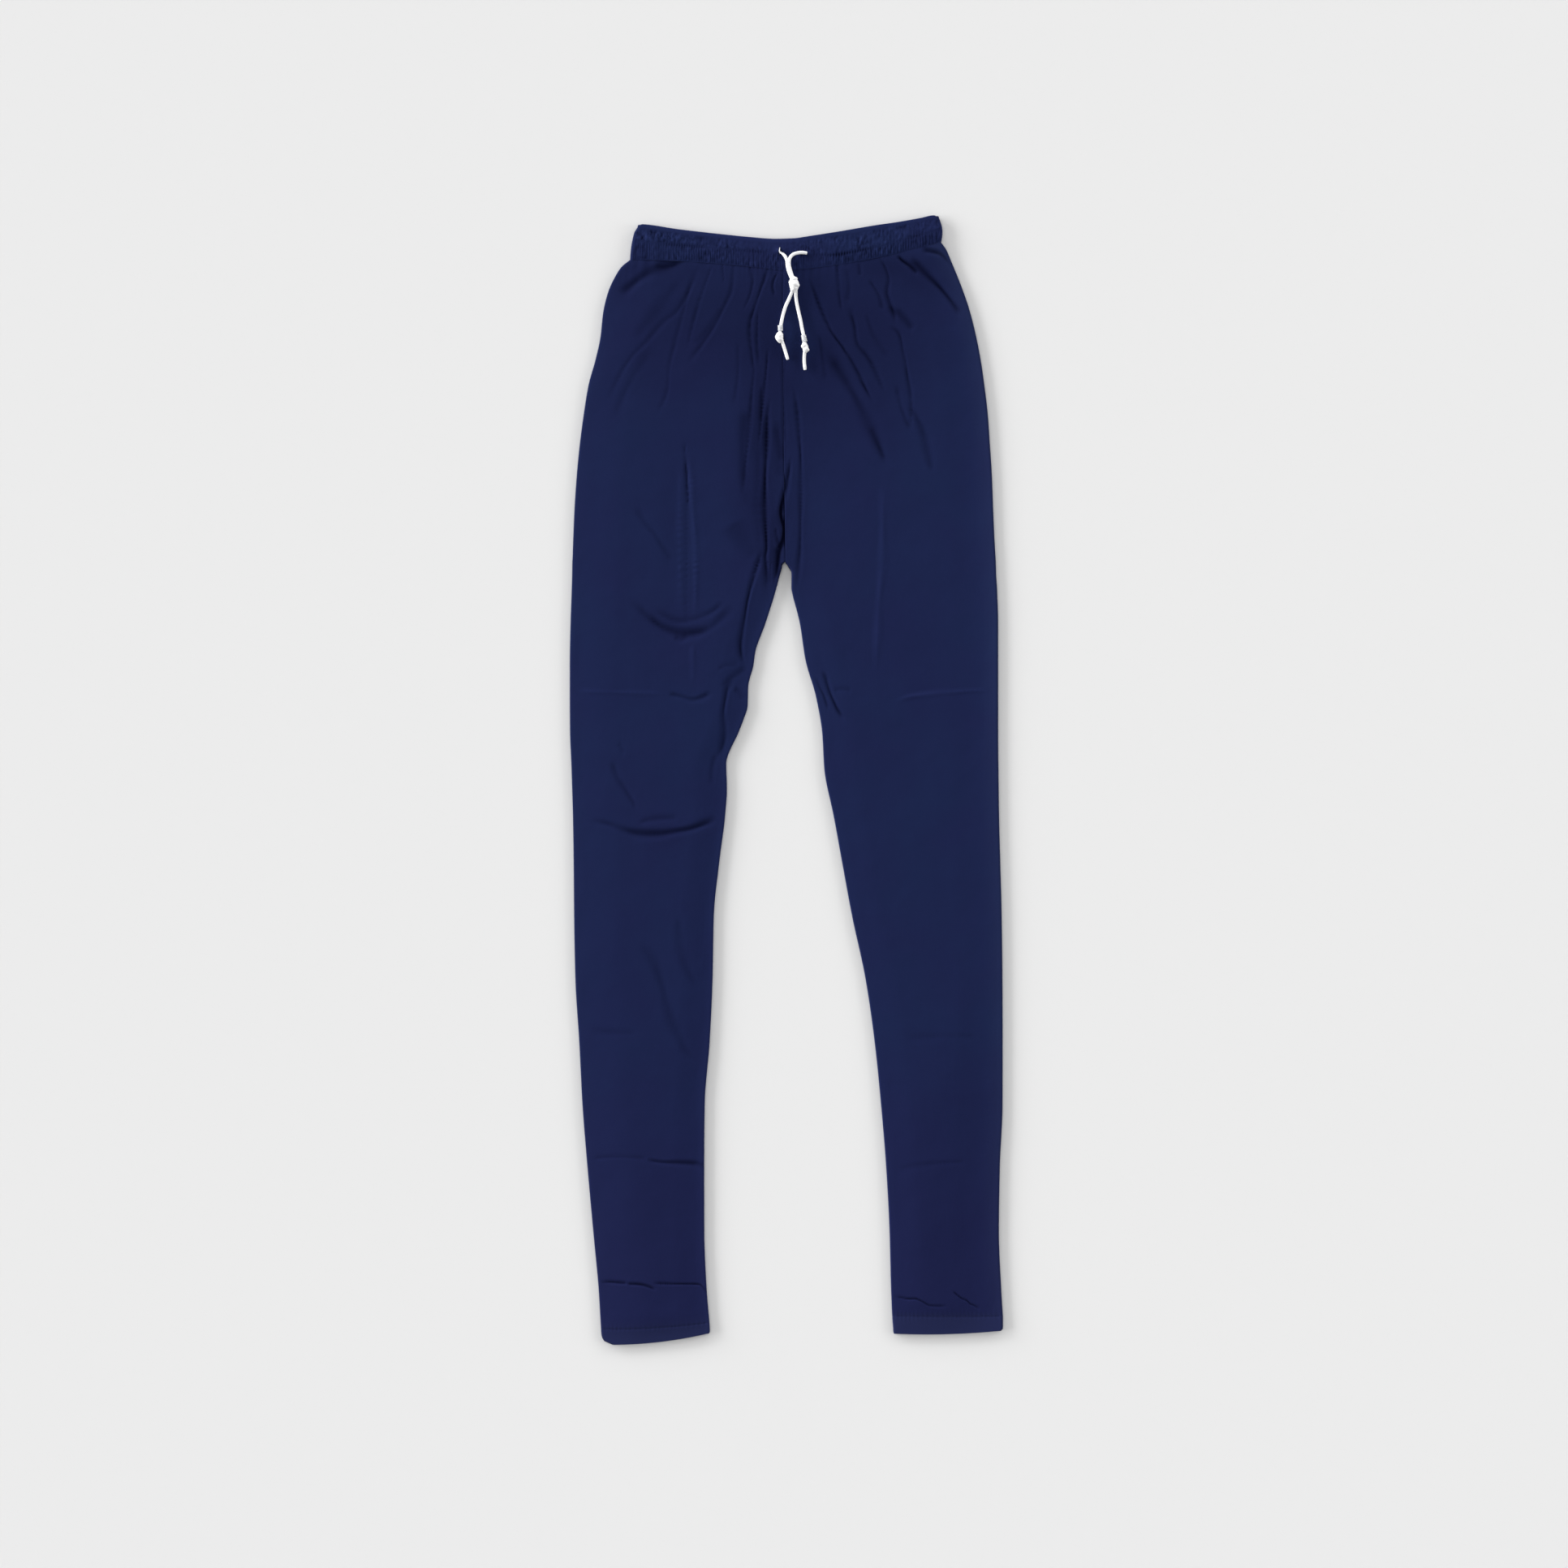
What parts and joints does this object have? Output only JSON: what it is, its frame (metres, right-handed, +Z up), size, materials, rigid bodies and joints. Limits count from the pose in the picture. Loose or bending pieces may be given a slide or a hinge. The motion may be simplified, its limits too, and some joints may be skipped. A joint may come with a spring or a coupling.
{
  "type": "churidar pants",
  "caption": "Navy jersey churidar pants laid flat, front up: shirred waist casing, slim tapering legs, stitched hems, and a white drawcord knotted in front with a bead and knot on each end.",
  "frame": {"origin": "middle of the cloth's box, on the surface that the garment lies on", "axes": "+Y towards the waist, +X towards the wearer's left, +Z up from the surface, out of the garment's front"},
  "size_m": [0.4138, 1.0785, 0.0164],
  "materials": {
    "navy_jersey": "fine matte cotton stretch jersey, dark navy",
    "white_cord": "soft white braided cotton cord",
    "clear_bead": "clear glossy plastic sleeve"
  },
  "bodies": {
    "root": {"leg_panel_right": "navy_jersey", "leg_panel_left": "navy_jersey", "waist_casing": "navy_jersey", "drawcord_right": "white_cord", "drawcord_left": "white_cord", "front_knot": "white_cord", "stopper_knot_right": "white_cord", "stopper_knot_left": "white_cord", "bead_right": "clear_bead", "bead_left": "clear_bead"}
  },
  "joints": []
}
